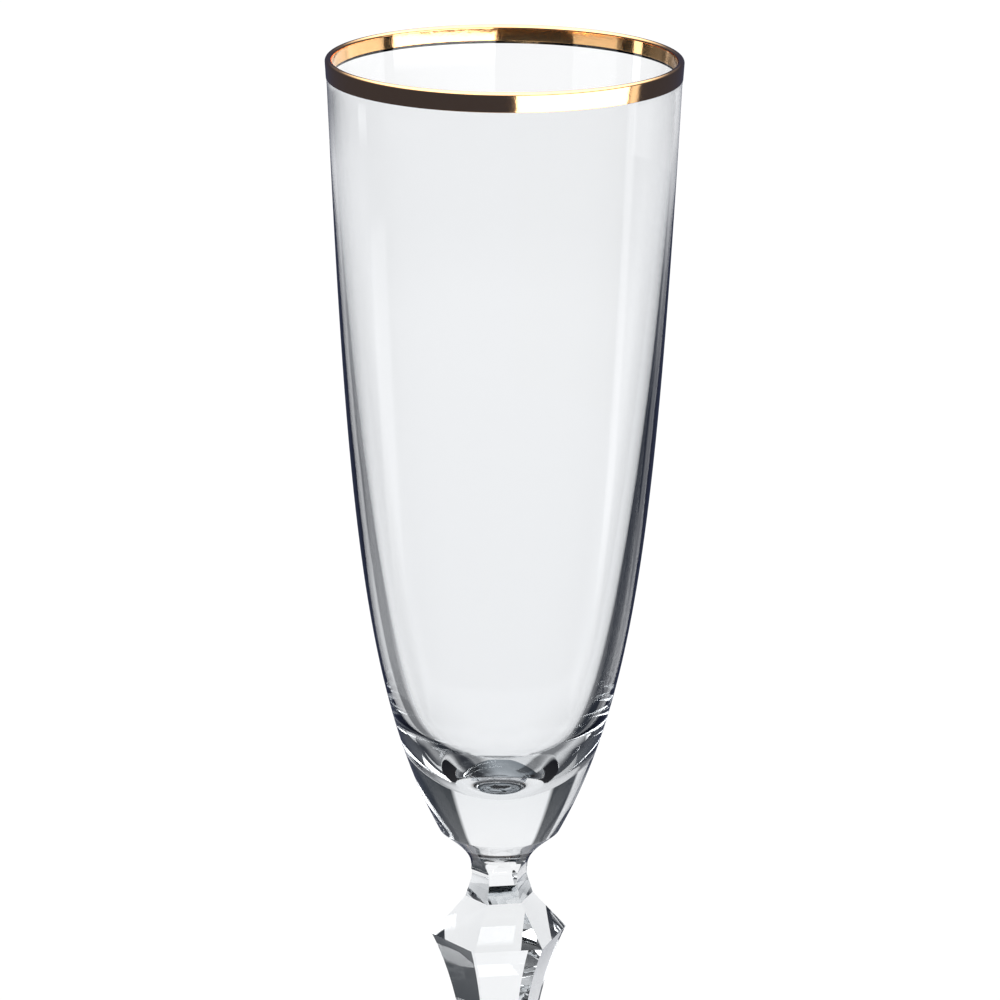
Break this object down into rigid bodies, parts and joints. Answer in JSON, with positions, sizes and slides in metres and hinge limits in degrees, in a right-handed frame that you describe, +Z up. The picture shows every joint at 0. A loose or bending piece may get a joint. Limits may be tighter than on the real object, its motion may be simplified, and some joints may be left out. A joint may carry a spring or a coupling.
{
  "type": "champagne flute",
  "caption": "Tall stemmed drinking glass with a tapering bowl, a thin gold rim, a cut stem with a knop and a round foot.",
  "frame": {"origin": "centre of the foot, on the table", "axes": "+Z up along the axis of the glass, +X through one corner of the six-sided stem"},
  "size_m": [0.068, 0.068, 0.2401],
  "materials": {
    "glass": "clear, fire-polished",
    "gold": "bright fired gold"
  },
  "bodies": {
    "root": {"bowl": "glass", "gold_rim": "gold", "stem": "glass", "foot": "glass"}
  },
  "joints": []
}
